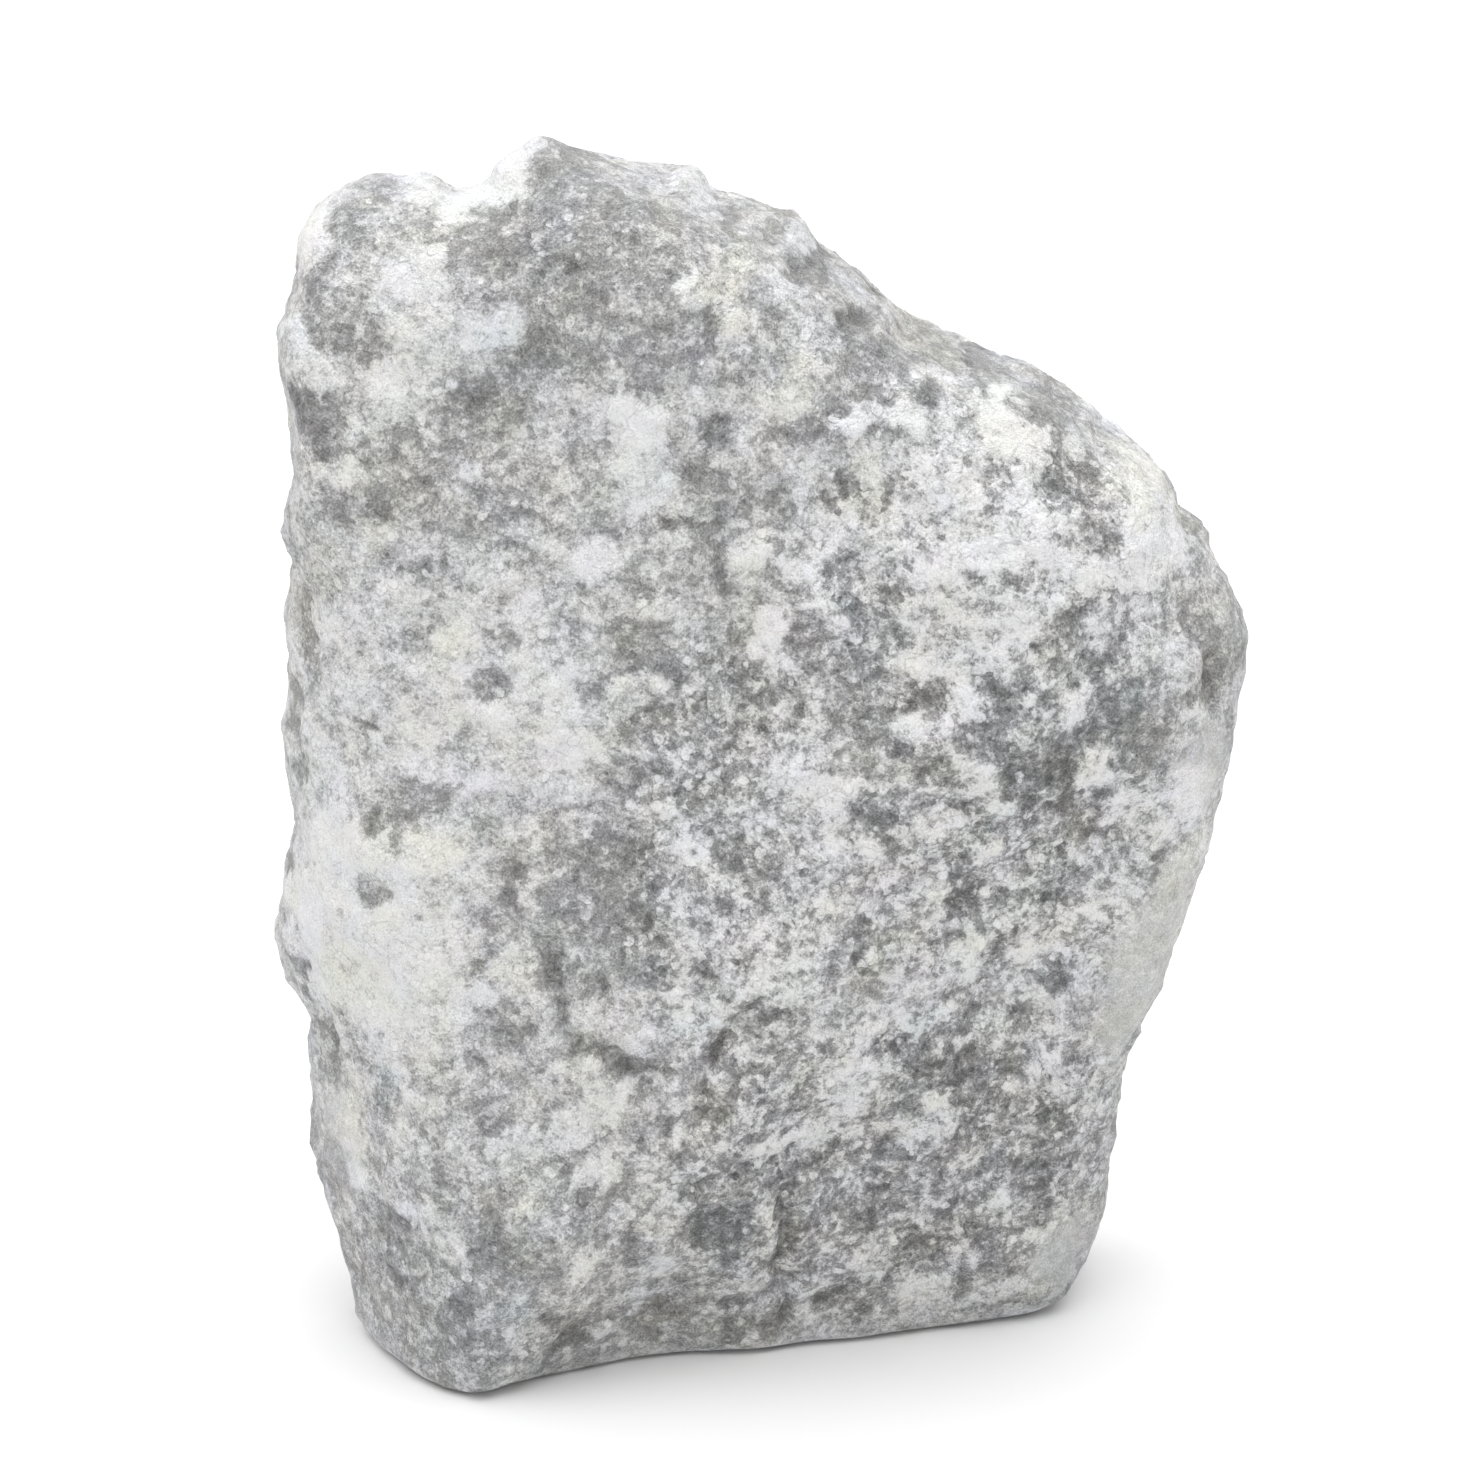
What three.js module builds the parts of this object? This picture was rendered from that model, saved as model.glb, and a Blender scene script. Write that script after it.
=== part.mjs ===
// A raw soapstone block, as broken from the quarry face and lightly tumbled: one solid stone
// that stands on its flat foot. Millimetres, +Z up. The broad front looks along -Y, and the
// origin is on the floor, under the middle of the block.
import * as THREE from "three";
import { ImprovedNoise } from "three/addons/math/ImprovedNoise.js";
import { mergeVertices } from "three/addons/utils/BufferGeometryUtils.js";

// Driving dimensions
const WIDTH = 140;
const DEPTH = 66;
const HEIGHT = 180;
const EDGE_ROUND = 6; // how far two broken faces blend into each other
const RIM_ROUND = 5; // the same, between a broken face and the rim
const FOOT_ROUND = 3; // the same, around the flat foot
const RIM_ROLL = 3; // how much smaller the outline gets from the rim to the front or back
const RIM_Y = 3; // the depth at which the outline is widest

// Facets across the width, the depth and the height of the mesh
const SEGMENTS = { x: 32, y: 15, z: 42 };

// The foot's edges, which the rows of facets follow up to this height
const FOOT = {
  left: -58, right: 45, frontLeft: -34, frontRight: 0, frontHollow: 4, back: 27, height: 45,
};

// The outline from the front, as [x, z], clockwise. It starts and ends below the flat foot.
const LEFT_FLANK = [
  [-55, -20], [-60.5, 0], [-62.8, 9], [-65.6, 20], [-68.6, 30], [-68.4, 40], [-66.8, 45],
  [-68.6, 53], [-72.2, 59], [-73.2, 64], [-71.4, 70], [-68.8, 73.5], [-68.4, 80], [-69.3, 96],
  [-67.9, 105], [-65.8, 121], [-67.4, 129], [-65.4, 133.5], [-66.8, 144], [-68.2, 152],
  [-64.8, 160],
];
const TOP_LEFT_LOBE = [
  [-64.4, 166], [-61.5, 171], [-56, 175], [-51, 176], [-45.5, 174.6], [-41, 172],
];
const CROWN = [[-36.4, 174.8], [-34, 178.4], [-30, 180], [-25.5, 178.2], [-9.5, 174.8], [-6, 172.2]];
const TOP_RIGHT_SLOPE = [
  [2.5, 170.2], [8, 165], [12.3, 162], [22.9, 153], [27, 150.7], [39.8, 146.2], [47.5, 139.6],
];
const RIGHT_SHOULDER = [[57, 131.5], [59.8, 127.2], [62.6, 126.2], [69.5, 115.4], [72.4, 108]];
const RIGHT_FLANK = [
  [70.4, 99], [67.6, 87.5], [65, 78], [61.9, 62.7], [54.7, 42.6], [53.6, 37], [53.2, 20],
  [52.2, 11.8], [47.7, 2.8], [41.6, -4], [20, -22],
];
const OUTLINE = [
  ...LEFT_FLANK, ...TOP_LEFT_LOBE, ...CROWN, ...TOP_RIGHT_SLOPE, ...RIGHT_SHOULDER, ...RIGHT_FLANK,
];

// Broken faces. right and up are the degrees that a face is turned from straight ahead (-Y).
const BROKEN_FACES = [
  { name: "upper front", at: [-15, -26, 105], right: -2, up: 5 },
  { name: "lower front", at: [0, -25, 52], right: 18.5, up: -12 },
  { name: "speckled front right", at: [32, -24, 118], right: 13, up: 12 },
  { name: "upper left front", at: [-50, -22, 148], right: -18, up: 14 },
  { name: "left foot corner", at: [-56, -20, 3], right: -44, up: -22 },
  { name: "left edge", at: [-69, -8, 90], right: -58, up: -4 },
  { name: "left edge, low", at: [-66, -8, 36], right: -46, up: -4 },
  { name: "top left bevel", at: [-52, -5, 176], right: -14, up: 50 },
  { name: "top bevel", at: [-20, -5, 178], right: 16, up: 55 },
  { name: "slope bevel", at: [27, -6, 152.5], right: 38, up: 46 },
  { name: "shoulder", at: [65, -5, 120], right: 46, up: 18 },
  { name: "right bevel", at: [64, -5, 68], right: 52, up: -12 },
  { name: "right foot corner", at: [52, -7, 5], right: 44, up: -34 },
  { name: "back", at: [0, 33, 70], right: 178, up: 2 },
  { name: "upper back", at: [-5, 27, 140], right: 188, up: 18 },
  { name: "back right", at: [62, 14, 85], right: 128, up: 4 },
  { name: "back left", at: [-62, 18, 75], right: 226, up: -5 },
  { name: "back left top", at: [-56, 12, 172], right: 218, up: 40 },
  { name: "back slope", at: [34, 12, 150], right: 146, up: 42 },
  { name: "back heel", at: [-5, 31, 12], right: 184, up: -26 },
];

// Hollows left where flakes came off: a ball of this radius, its centre just outside the stone.
const SCOOPS = [
  { name: "left edge pit", at: [-76, -15, 143], radius: 13 },
  { name: "notch by the crown", at: [-43, -20, 192], radius: 22 },
  { name: "left flank", at: [-80, -24, 50], radius: 18 },
  { name: "under the white shelf", at: [-10, -57, 44], radius: 31 },
  { name: "foot front", at: [5, -70.4, -12], radius: 61.5 },
  { name: "behind the notch", at: [-38, 30, 188], radius: 26 },
  { name: "top behind the slope", at: [16, 42, 186], radius: 34 },
  { name: "right flank", at: [84, -20, 38], radius: 30 },
  { name: "back middle", at: [14, 84, 104], radius: 55 },
  { name: "back lower left", at: [-44, 70, 38], radius: 40 },
  { name: "back right edge", at: [84, 36, 62], radius: 30 },
  { name: "left side", at: [-90, 24, 112], radius: 30 },
  { name: "left side, low", at: [-82, 28, 42], radius: 24 },
];
const SCOOP_LIP = 4; // how softly a hollow meets the face around it

// Steps in the front (side -1) or the back (side 1). Seen from the front, the stone stands proud
// by height on the left of the line from a to b, and lies low by as much on its right.
const LEDGES = [
  { name: "white shelf", side: -1, a: [-30, 56], b: [-18, 40], height: 1.0, width: 4, reach: 12 },
  { name: "shelf return", side: -1, a: [-4, 36], b: [10, 48], height: 0.9, width: 4, reach: 9 },
  { name: "upright crease", side: -1, a: [-6, 112], b: [-5, 146], height: 1.2, width: 4, reach: 12 },
  { name: "foot crease", side: -1, a: [4, 6], b: [4, 26], height: 1.0, width: 4, reach: 10 },
  { name: "shoulder break", side: -1, a: [64, 94], b: [63, 112], height: 1.4, width: 4, reach: 9 },
  { name: "smeared ridge", side: -1, a: [60, 78], b: [42, 58], height: 1.3, width: 4, reach: 11 },
  { name: "back shelf", side: 1, a: [-40, 106], b: [24, 76], height: 2.8, width: 5, reach: 22 },
  { name: "back upright", side: 1, a: [16, 20], b: [36, 66], height: 2.4, width: 5, reach: 20 },
  { name: "back top step", side: 1, a: [2, 150], b: [-30, 122], height: 2.2, width: 5, reach: 18 },
];

// Wavy relief of the whole surface: [wavelength, height]
const LUMPS = [[44, 2.6], [20, 1.7], [10, 0.8]];
const LUMP_SEED = 7.3;
const RIM_CALM = 10; // the lumps fade out over this distance from the rim
const LEDGE_WANDER = { wave: 19, shift: 9 }; // how the lines of the ledges wander

const CENTRE = new THREE.Vector3(0, 0, HEIGHT / 2);
const noise = new ImprovedNoise();

// Signed distance in the front view from (x, z) to the outline, negative inside.
function outlineDistance(x, z) {
  let nearest = Infinity;
  let inside = false;
  OUTLINE.forEach(([x1, z1], i) => {
    const [x0, z0] = OUTLINE.at(i - 1);
    const [ex, ez] = [x1 - x0, z1 - z0];
    const along = THREE.MathUtils.clamp(((x - x0) * ex + (z - z0) * ez) / (ex * ex + ez * ez), 0, 1);
    nearest = Math.min(nearest, Math.hypot(x - x0 - along * ex, z - z0 - along * ez));
    if (z0 > z !== z1 > z && x < x0 + ((z - z0) / ez) * ex) inside = !inside;
  });
  return inside ? -nearest : nearest;
}

// The larger of two values, rounded where they cross.
function roundedMax(a, b, round) {
  const overlap = Math.max(round - Math.abs(a - b), 0);
  return Math.max(a, b) + (overlap * overlap) / (4 * round);
}

const facePlanes = BROKEN_FACES.map(({ at, right, up }) => {
  const [turn, lift] = [right, up].map(THREE.MathUtils.degToRad);
  const facing = new THREE.Vector3(
    Math.cos(lift) * Math.sin(turn), -Math.cos(lift) * Math.cos(turn), Math.sin(lift),
  );
  return new THREE.Plane().setFromNormalAndCoplanarPoint(facing, new THREE.Vector3(...at));
});

const scoops = SCOOPS.map(({ at, radius }) => new THREE.Sphere(new THREE.Vector3(...at), radius));

// How far the ledges of one side raise it at (x, z). Each fades out away from its line.
function ledgeHeight(x, z, face) {
  const wander = LEDGE_WANDER.shift * noise.noise(x / LEDGE_WANDER.wave, face, z / LEDGE_WANDER.wave);
  return LEDGES.reduce((sum, { side, a, b, height, width, reach }) => {
    if (side !== face) return sum;
    const [ex, ez] = [b[0] - a[0], b[1] - a[1]];
    const length = Math.hypot(ex, ez);
    const along = ((x - a[0]) * ex + (z - a[1]) * ez) / length;
    const across = ((x - a[0]) * -ez + (z - a[1]) * ex) / length + wander;
    const past = Math.max(-along, along - length, 0);
    const fade = Math.exp(-((past * past + across * across) / (reach * reach)));
    return sum + height * Math.tanh(across / width) * fade;
  }, 0);
}

function lumpHeight(p) {
  return LUMPS.reduce((sum, [wave, height], i) => {
    const shift = LUMP_SEED * (i + 1);
    return sum + height * noise.noise(p.x / wave + shift, p.y / wave, p.z / wave - shift);
  }, 0);
}

// Negative inside the stone, positive outside, and zero on its surface.
function stoneField(p) {
  const fromRim = (p.y - RIM_Y) / (DEPTH / 2);
  const outline = outlineDistance(p.x, p.z);
  let faces = facePlanes[0].distanceToPoint(p);
  for (const plane of facePlanes) faces = roundedMax(faces, plane.distanceToPoint(p), EDGE_ROUND);
  for (const scoop of scoops) faces = roundedMax(faces, -scoop.distanceToPoint(p), SCOOP_LIP);
  faces -= ledgeHeight(p.x, p.z, Math.sign(p.y));
  const offRim = Math.max(-outline, Math.abs(p.y - RIM_Y) - RIM_CALM / 2);
  const lumps = lumpHeight(p) * THREE.MathUtils.clamp(offRim / RIM_CALM, 0.25, 1);
  const stone = roundedMax(faces, outline + RIM_ROLL * fromRim * fromRim, RIM_ROUND) - lumps;
  return roundedMax(stone, -p.z, FOOT_ROUND);
}

// The box's point, moved so that the edges of the box's bottom run along the edges of the foot.
function besideFoot(p) {
  const { lerp, smoothstep } = THREE.MathUtils;
  const low = 1 - smoothstep(p.z, 0, FOOT.height);
  const [across, deep] = [p.x / WIDTH + 0.5, p.y / DEPTH + 0.5];
  const hollow = FOOT.frontHollow * Math.sin(Math.PI * across);
  const front = lerp(FOOT.frontLeft, FOOT.frontRight, across) + hollow;
  p.x = lerp(p.x, lerp(FOOT.left, FOOT.right, across), low);
  p.y = lerp(p.y, lerp(front, FOOT.back, deep), low);
  return p;
}

// The point where the ray from the centre through a point of the cage leaves the stone.
function onSurface(cagePoint) {
  const way = cagePoint.clone().sub(CENTRE);
  const p = new THREE.Vector3();
  let [inside, outside] = [0, 2];
  for (let step = 0; step < 26; step++) {
    const middle = (inside + outside) / 2;
    if (stoneField(p.copy(CENTRE).addScaledVector(way, middle)) < 0) inside = middle;
    else outside = middle;
  }
  return p;
}

function stoneGeometry() {
  const box = new THREE.BoxGeometry(WIDTH, DEPTH, HEIGHT, SEGMENTS.x, SEGMENTS.y, SEGMENTS.z);
  box.translate(...CENTRE);
  box.deleteAttribute("uv");
  box.deleteAttribute("normal");
  const stone = mergeVertices(box);
  const places = stone.getAttribute("position");
  for (let i = 0; i < places.count; i++) {
    const p = onSurface(besideFoot(new THREE.Vector3().fromBufferAttribute(places, i)));
    places.setXYZ(i, p.x, p.y, p.z);
  }
  stone.computeBoundingBox();
  const middle = stone.boundingBox.getCenter(new THREE.Vector3());
  stone.translate(-middle.x, -middle.y, 0);
  stone.computeVertexNormals();
  return stone;
}

const soapstone = new THREE.MeshStandardMaterial({ color: 0xbdbebd, roughness: 0.82, metalness: 0 });

const stone = new THREE.Mesh(stoneGeometry(), soapstone);
stone.name = "stone";

const block = new THREE.Group();
block.name = "soapstone_block";
block.add(stone);

export default block;
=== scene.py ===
"""A raw soapstone block on a white studio floor, in soft light from above.

Places on the stone are in millimetres: x to the right, z up from the floor, seen from the front.
"""
import math
import bmesh
import bpy
import numpy as np
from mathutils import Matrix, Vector, noise


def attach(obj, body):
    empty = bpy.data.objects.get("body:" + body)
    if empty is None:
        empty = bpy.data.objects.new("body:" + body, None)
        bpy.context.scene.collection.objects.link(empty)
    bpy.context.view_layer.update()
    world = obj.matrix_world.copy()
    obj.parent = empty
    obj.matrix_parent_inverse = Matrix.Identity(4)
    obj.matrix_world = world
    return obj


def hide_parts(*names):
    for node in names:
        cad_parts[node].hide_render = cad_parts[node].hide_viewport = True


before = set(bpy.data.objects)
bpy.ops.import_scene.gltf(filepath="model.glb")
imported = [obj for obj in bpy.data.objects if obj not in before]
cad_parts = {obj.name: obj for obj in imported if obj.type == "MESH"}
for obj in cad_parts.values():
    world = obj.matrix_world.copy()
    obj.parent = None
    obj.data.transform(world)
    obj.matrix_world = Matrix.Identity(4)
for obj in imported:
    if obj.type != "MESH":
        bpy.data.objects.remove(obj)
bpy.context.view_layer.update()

MM = 0.001

# Camera
CAMERA_AIM = (-2.6, -3.7, 93.5)
CAMERA_DISTANCE = 590
CAMERA_ELEVATION = 18
CAMERA_LENS = 100

# Light
SKY_STRENGTH = 0.63
SOFTBOX_STRENGTH = 3.1
SOFTBOX_SPREAD = 80

# Relief of the broken surface. Chips and grain are pairs of a size and a height.
SMOOTHING_LEVELS = 2
FOOT_FADE = 5
CHIP_SIZES = ((8.0, 0.6), (3.6, 0.35))
GRAIN_WAVES = ((13.0, 0.55), (5.5, 0.4), (2.6, 0.25))
WHITE_RAISE = 0.4
CREASE_GAIN = 1.6
CREASE_WANDER = 0.8
RUBBED_SMOOTHING = 0.6

# Lines where one break ends against another: points (x, z), how deep, how wide
CREASES = (
    # the end of the white shelf
    (((-29, 70), (-27.5, 65), (-27, 59), (-21, 56), (-18, 52), (-15, 50)), 0.9, 1.3),
    # where the shelf turns back up
    (((-7.5, 50), (-5.5, 55), (-3.5, 58), (1, 62.5)), 0.6, 1.0),
    # the upper upright line
    (((-5.3, 160), (-5.6, 155)), 0.6, 0.9),
    # the middle upright line
    (((-4.4, 134), (-5.2, 130), (-4.8, 126), (-3.6, 121)), 0.7, 1.0),
    # the upright line above the foot
    (((4.3, 30), (4.9, 22), (4.2, 14), (5.3, 3)), 0.7, 1.1),
    # the edge of the right facet
    (((64.4, 109), (65.2, 105), (65.0, 101)), 0.7, 1.0),
    # the arc low on the left flank
    (((-61.8, 53), (-60.6, 48), (-61.6, 43.5)), 0.5, 0.9),
    # under the white band
    (((-9, 34), (2, 35.5), (9, 36.5), (14, 38)), 0.5, 1.4),
    # above the dark belly
    (((18, 54), (27, 53), (33, 55.5)), 0.5, 1.1),
    # across the left shoulder
    (((-38, 148), (-33, 151), (-29, 157)), 0.5, 1.2),
    # the shelf above the foot
    (((-6, 10.5), (2, 11.5), (6, 13.5)), 0.6, 1.0),
)

# Chips off the edges, and knobs left standing where the depth is negative: x, z, radius, depth
NICKS = (
    (-66.0, 161.5, 2.2, 1.0),
    (-66.5, 134.0, 2.6, 1.1),
    (-66.5, 122.5, 2.6, 0.9),
    (-68.0, 105.0, 5.0, 0.7),
    (-69.0, 97.0, 2.2, -0.9),
    (-67.4, 81.5, 2.0, 0.7),
    (-70.0, 75.0, 3.0, -0.8),
    (-69.0, 56.0, 5.0, -1.0),
    (-66.4, 50.0, 2.4, 0.9),
    (-68.0, 35.5, 2.0, 0.5),
    (-49.0, 174.6, 1.5, 0.6),
    (-44.6, 174.6, 2.2, -1.1),
    (-34.8, 177.2, 2.6, -1.6),
    (-29.0, 179.2, 4.6, -1.3),
    (-8.6, 174.4, 2.0, -1.5),
    (-5.0, 172.4, 2.0, 0.8),
    (6.0, 168.0, 2.6, -1.0),
    (22.0, 153.5, 4.0, 0.8),
    (61.0, 127.5, 1.8, 0.7),
    (70.0, 110.0, 4.0, -1.2),
    (59.0, 58.0, 4.5, -0.8),
)

# The front's markings, large ones first, each laid over the ones before it:
# x, z, half width, half height, turn in degrees, tone from about -1 dark to 1 white,
# tint from -1 blue to 1 warm
FIELDS = (
    (-54, 69, 13.5, 20, 0, 0.65, 0.3),
    (-28, 167, 14, 8, -8, -0.35, 0.1),
    (-16, 159, 13, 9, -10, -0.35, 0.1),
    (-43, 137, 14, 8, 8, -0.22, 0.5),
    (28, 128, 20, 15, -12, 0.35, 0),
    (16, 110, 10, 10, 0, -0.4, 0),
    (40, 98, 16, 14, 20, -0.45, -0.3),
    (-20, 78, 12, 11, -20, -0.4, -0.2),
    (-44, 109, 19, 17, 6, 0.36, 0.1),
    (-56, 93, 11, 9, 0, 0.25, 0.1),
    (-38, 88, 10, 6, 0, 0.12, -0.1),
    (-56, 45, 8, 12, 0, 0.15, 0.2),
    (-4, 106, 14, 12, 0, -0.3, 0.1),
    (-46, 45, 14, 10, 0, 0.15, 0),
    (-44, 16, 14, 12, 0, -0.05, -0.2),
    (30, 44, 14, 12, 0, -0.3, -0.1),
    (-12, 10, 18, 8, 8, -0.08, 0.4),
    (28, 18, 18, 10, 8, -0.1, 0),
    (57, 66, 8, 20, -18, 0.05, 0.4),
    (46, 12, 8, 9, 0, 0.25, 0),
    (65, 108, 4, 10, 0, -0.25, 0.2),
)
WHITE_CLOTS = (
    (-61.5, 170, 4.5, 7, -30, 0.7, 0.1),
    (-36, 175.2, 8, 3.2, 35, 0.8, 0),
    (-29, 180, 3, 1.6, 0, 0.4, 0),
    (-45, 173.6, 5, 2, 0, 0.4, -0.2),
    (-13, 178, 9, 1.7, -14, 0.5, 0.2),
    (-8, 173.6, 3, 1.4, -20, 0.4, -0.3),
    (3, 173, 5, 1.6, -14, 0.7, 0.1),
    (9, 168.5, 3.6, 1.8, -45, 0.5, 0),
    (17, 161.5, 8, 1.4, -38, 0.35, 0.1),
    (7, 167, 3, 2.2, -40, 0.4, -0.4),
    (-46, 164.4, 4.4, 3.2, 15, 0.85, -0.2),
    (-43, 156, 8, 4.5, 8, 0.42, 0),
    (-34, 157.4, 4.6, 2.5, 12, 0.6, -0.6),
    (-49, 149, 5, 3.2, 20, 0.5, 0),
    (-62, 155, 2.4, 3, 0, 0.6, -0.4),
    (-60, 151.5, 4, 1.3, 0, 0.5, 0),
    (-54.5, 143.5, 2, 1.4, 0, 0.75, -0.3),
    (-57, 138, 2.8, 2.2, -25, 0.75, 0.6),
    (-15.5, 144.5, 4, 3.6, 25, 1.1, 0),
    (-18, 147, 2, 1.4, 30, 1.2, 0),
    (-15, 137, 5.5, 4.5, 30, 0.6, -0.4),
    (-9.2, 164, 1.3, 2.6, 0, 0.95, -0.1),
    (-7.6, 162.3, 2.2, 1.4, 0, 0.9, 0.2),
    (-4, 164, 4, 3, 0, 0.3, 0.8),
    (-2.5, 158.5, 1.8, 1.8, 0, 0.65, 0.7),
    (-6.8, 155, 1.6, 2.4, 0, 0.65, 0.6),
    (-19, 154.3, 1, 1.4, 0, 0.85, 0),
    (-36.5, 167.4, 1.2, 1.2, 0, 0.8, 0.3),
    (-22, 126.5, 3.4, 2.8, -20, 0.7, 0),
    (-27.5, 128, 2, 1.5, 0, 0.5, 0),
    (-38, 138, 2.6, 1.4, -30, 0.4, -0.3),
    (-0.6, 127, 2.5, 1.8, 10, 1.0, 0),
    (2.6, 115, 2.8, 4.4, 15, 1.0, 0),
    (7, 102.5, 3, 2, 0, 0.3, 0),
    (2, 139.5, 3, 1.8, 0, 0.2, 0),
    (5, 162, 3, 1.4, 10, 0.5, -0.3),
    (7, 156, 4, 4, 40, 0.02, 0),
    (6, 152, 2.2, 1.5, 0, 0.25, 0.7),
    (4, 147.5, 4, 3, 20, 0.4, 0.7),
    (13, 145, 3.2, 1.8, -15, 0.95, -0.3),
    (21.5, 145, 1.6, 3, 0, 0.8, 0),
    (25, 148.4, 3, 1.3, -8, 0.35, 0),
    (33, 144.6, 2.2, 1.5, -40, 0.75, -0.2),
    (34.6, 141.5, 3.6, 2, -18, 1.0, 0.6),
    (36, 153, 5, 1.2, -18, 0.55, 0.5),
    (37.6, 133, 1.5, 5, 12, 0.9, 0),
    (28.5, 134, 2.6, 2.6, 0, 0.8, 0.1),
    (15, 139, 2.2, 1.6, 0, 0.4, 0.6),
    (54, 134, 4.5, 3.6, -35, 0.35, 0.6),
    (52.5, 129.5, 2.4, 1.8, 0, 1.0, 0.5),
    (55, 124, 5.5, 4, 20, 0.95, 0),
    (57.5, 129, 3, 2, -35, 0.5, 0),
    (26, 126.5, 4.4, 3, 0, 0.95, 0),
    (34.5, 127.3, 6, 2.4, 5, 0.8, 0),
    (45, 122.5, 3.4, 2, 0, 0.7, 0),
    (4.8, 125.8, 3, 1.6, 0, 0.6, 0),
    (8.6, 121.5, 2, 2, 0, 0.5, 0),
    (31, 112.6, 8, 2.6, 4, 0.42, 0),
    (22, 112, 2.4, 2.4, 0, 0.6, 0),
    (28.6, 106.5, 2.2, 3, 0, 0.65, 0),
    (24, 103, 5, 2.4, 8, 0.5, 0),
    (15.6, 115, 2.2, 0.9, -35, 0.85, 0.6),
    (43.4, 107.5, 3, 2.4, 0, 0.6, 0),
    (45.4, 105, 2.2, 2.6, 0, 0.7, 0),
    (38, 106, 1.5, 1.4, 0, 0.8, 0),
    (62.5, 101.6, 2.6, 1.8, 0, 0.6, 0),
    (47.4, 95, 1.9, 3.4, -10, 0.7, 0),
    (31, 95.6, 2.6, 3.4, 0, 0.55, 0),
    (8.7, 105.6, 1, 1.2, 0, 0.8, 0),
    (3, 104, 3, 2.4, 0, 0.25, 0),
    (5, 96, 3.6, 2.8, 0, 0.85, -0.2),
    (10.4, 93.4, 4, 3, -35, 0.9, 0),
    (12, 87, 1.2, 2, 0, 0.5, 0),
    (20.8, 96.4, 1.8, 2, 0, 0.55, 0.8),
    (25.6, 88, 3, 3.2, 0, 0.5, 0),
    (16.7, 84.6, 1.5, 1.4, 0, 0.8, 0),
    (10.7, 84.5, 1, 1.2, 0, 0.8, 0),
    (33.6, 90, 1.8, 1.6, -30, 0.45, -0.5),
    (41.4, 89, 1.2, 2.2, 0, 0.45, 0),
    (33.2, 83.5, 1.6, 1, 0, 0.85, 0.6),
    (52, 88, 3, 4, 0, 0.4, 0),
    (50.4, 86.4, 0.8, 1.2, 0, 0.9, 0.6),
    (60, 88, 5, 6, -12, 0.45, 0),
    (25.6, 75.6, 1.4, 3.2, -20, 0.65, 0.4),
    (53, 74.5, 8, 1.8, 28, 0.5, 0),
    (38.5, 66, 2.2, 1.8, 20, 0.7, 0),
    (31, 69, 1.8, 2.2, -15, 1.0, 0.6),
    (25, 67, 0.8, 2.6, 30, 0.75, 0.2),
    (30.5, 64, 1.8, 2.6, 0, 0.55, 0.2),
    (4, 65.5, 5, 3.4, 8, 0.4, -0.4),
    (24, 57.4, 4.4, 2, 8, 0.35, -0.5),
    (42.4, 57.4, 2.4, 1.4, 5, 0.45, 0),
    (34.6, 53.6, 2, 2.2, 0, 0.35, 0),
    (28.6, 52.4, 3, 1.1, 8, 0.45, 0),
    (14, 47.6, 4.8, 5, 0, 0.55, 0),
    (13, 52, 2.2, 1.6, 0, 0.75, 0.2),
    (26, 44, 1.7, 2.3, 0, 1.0, 0.6),
    (29, 39.2, 1.2, 1.3, 0, 0.9, 0),
    (42.2, 46.6, 2.7, 1.9, 10, 0.75, 0),
    (5, 38.6, 6.4, 1.9, 4, 0.85, 0),
    (12.6, 38.6, 3, 1.6, -10, 0.9, 0.1),
    (24, 37.6, 3, 3, 0, 0.2, 0),
    (31.6, 32, 2, 2.6, 20, 0.35, 0.7),
    (27, 24.8, 2.4, 2.2, 0, 0.15, 0),
    (36, 22.8, 2.8, 1.3, 4, 0.8, 0),
    (2.6, 26, 2.1, 3.6, 0, 0.5, 0),
    (17, 15.6, 4.2, 2.8, 15, 0.5, 0),
    (12, 19, 2.2, 1.3, 0, 0.45, 0),
    (9, 11.5, 2.3, 1.6, 0, 0.75, -0.1),
    (-1.4, 12.6, 4.8, 1.8, 10, 0.75, 0.5),
    (32.4, 14, 3.2, 1.6, -20, 0.8, 0),
    (26, 8, 4.2, 3, 15, 0.75, 0.4),
    (7.6, 6, 3, 2.6, 0, 0.6, 0),
    (33, 6.6, 9, 2.8, 6, 0.6, 0),
    (-12, 90.6, 1.3, 1.4, 0, 1.0, 0),
    (-8.8, 84.6, 2, 2.6, 0, 0.85, 0),
    (-10.6, 77, 1, 2, 15, 0.6, 0),
    (-26, 107, 5, 3.4, 0, 0.6, 0),
    (-35.5, 104, 2, 2, 0, 0.8, 0),
    (-15.4, 107.6, 4, 1.8, -6, 0.35, 0.7),
    (-8, 114.6, 3.2, 1.2, -10, 0.4, 0.3),
    (-41, 114.6, 3.6, 2, 15, 0.75, 0.8),
    (-26, 99.4, 5, 3, 0, 0.85, 0),
    (-26, 94, 4.2, 2, 8, 0.45, -0.6),
    (-33, 94.4, 2.5, 1.8, 0, 0.45, 0.1),
    (-38, 95, 2, 2, 0, 0.55, 0),
    (-57, 84.4, 5, 4.2, 0, 0.9, 0.2),
    (-45.6, 84.4, 6, 2.6, 0, 0.75, 0.9),
    (-60.6, 70, 5, 6, 0, 0.85, 0),
    (-52, 72, 8, 5, 0, 0.7, 0.2),
    (-55, 63, 8, 6, 0, 0.8, 0.5),
    (-46, 66, 5, 5, 0, 0.65, 0.2),
    (-44, 58, 5, 4, 0, 0.5, 0.1),
    (-31, 76.6, 1.8, 2, 0, 0.4, 0.7),
    (-34.4, 67, 3.2, 3.6, 0, 0.5, 0.7),
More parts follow.
